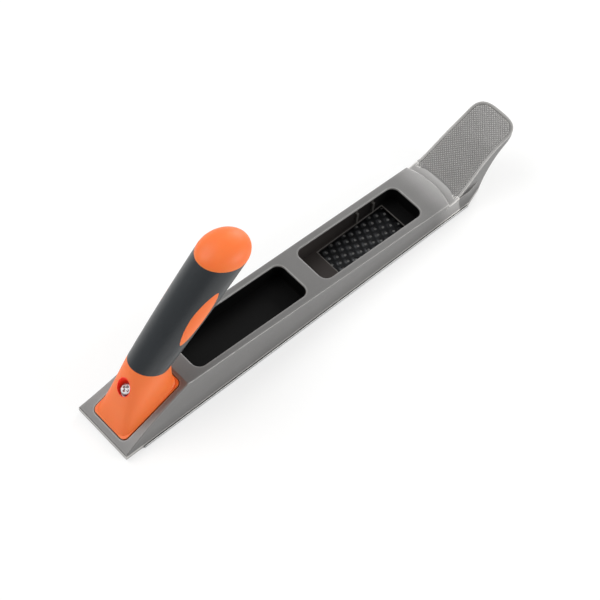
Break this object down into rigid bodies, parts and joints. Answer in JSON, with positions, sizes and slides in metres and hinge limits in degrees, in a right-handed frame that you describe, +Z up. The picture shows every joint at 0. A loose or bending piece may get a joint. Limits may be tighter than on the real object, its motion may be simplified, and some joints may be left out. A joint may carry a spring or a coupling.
{
  "type": "rasp plane",
  "caption": "Two-position rasp plane: tapered cast body with open bays, replaceable perforated rasp blade, upswept knurled thumb rest and a soft-grip handle screwed to a sloping heel seat.",
  "frame": {"origin": "middle of the blade, on the sole plane", "axes": "+X to the toe (the thumb rest), +Y to the left hand, +Z up from the sole"},
  "size_m": [0.3029, 0.042, 0.1065],
  "materials": {
    "grey_paint": "satin grey paint on die-cast aluminium",
    "blade_steel": "blued spring steel",
    "zinc_steel": "zinc plated",
    "fastener_steel": "bright zinc plated",
    "spring_steel": "oiled black",
    "orange_plastic": "moulded satin gloss",
    "black_rubber": "soft matt"
  },
  "bodies": {
    "body": {"body_casting": "grey_paint", "rear_hook_plate": "zinc_steel", "hook_plate_screws": "fastener_steel", "handle_nut": "fastener_steel", "tension_washer": "fastener_steel"},
    "blade": {"rasp_blade": "blade_steel"},
    "clamp_block": {"tension_block": "zinc_steel"},
    "clamp_screw": {"tension_screw": "fastener_steel", "screw_retaining_ring": "spring_steel"},
    "handle": {"handle_core": "orange_plastic", "grip_sleeve": "black_rubber", "end_cap": "orange_plastic", "screw_bush": "zinc_steel", "handle_flat_washer": "fastener_steel", "handle_spring_washer": "spring_steel"},
    "handle_fixing_screw": {"handle_screw": "fastener_steel"}
  },
  "joints": [
    {"name": "blade_drop_out", "type": "slide", "parent": "body", "child": "blade", "axis": [0, 0, -1], "range_m": [0, 0.012]},
    {"name": "clamp_travel", "type": "slide", "parent": "body", "child": "clamp_block", "axis": [-1, 0, 0], "range_m": [0, 0.003]},
    {"name": "clamp_screw_turn", "type": "hinge", "parent": "body", "child": "clamp_screw", "pos_m": [0.13, 0, 0.0072], "axis": [1, 0, 0], "range_deg": [0, 1545]},
    {"name": "handle_lift", "type": "slide", "parent": "body", "child": "handle", "axis": [-0.4147, 0, 0.91], "range_m": [0, 0.005]},
    {"name": "handle_screw_turn", "type": "hinge", "parent": "handle", "child": "handle_fixing_screw", "pos_m": [-0.11292, 0, 0.0153], "axis": [-0.4147, 0, 0.91], "range_deg": [0, 2575]}
  ],
  "couplings": [
    {"joint": "clamp_screw_turn", "follows": "clamp_travel", "rad_per_m": 8976},
    {"joint": "handle_screw_turn", "follows": "handle_lift", "rad_per_m": 8976}
  ]
}
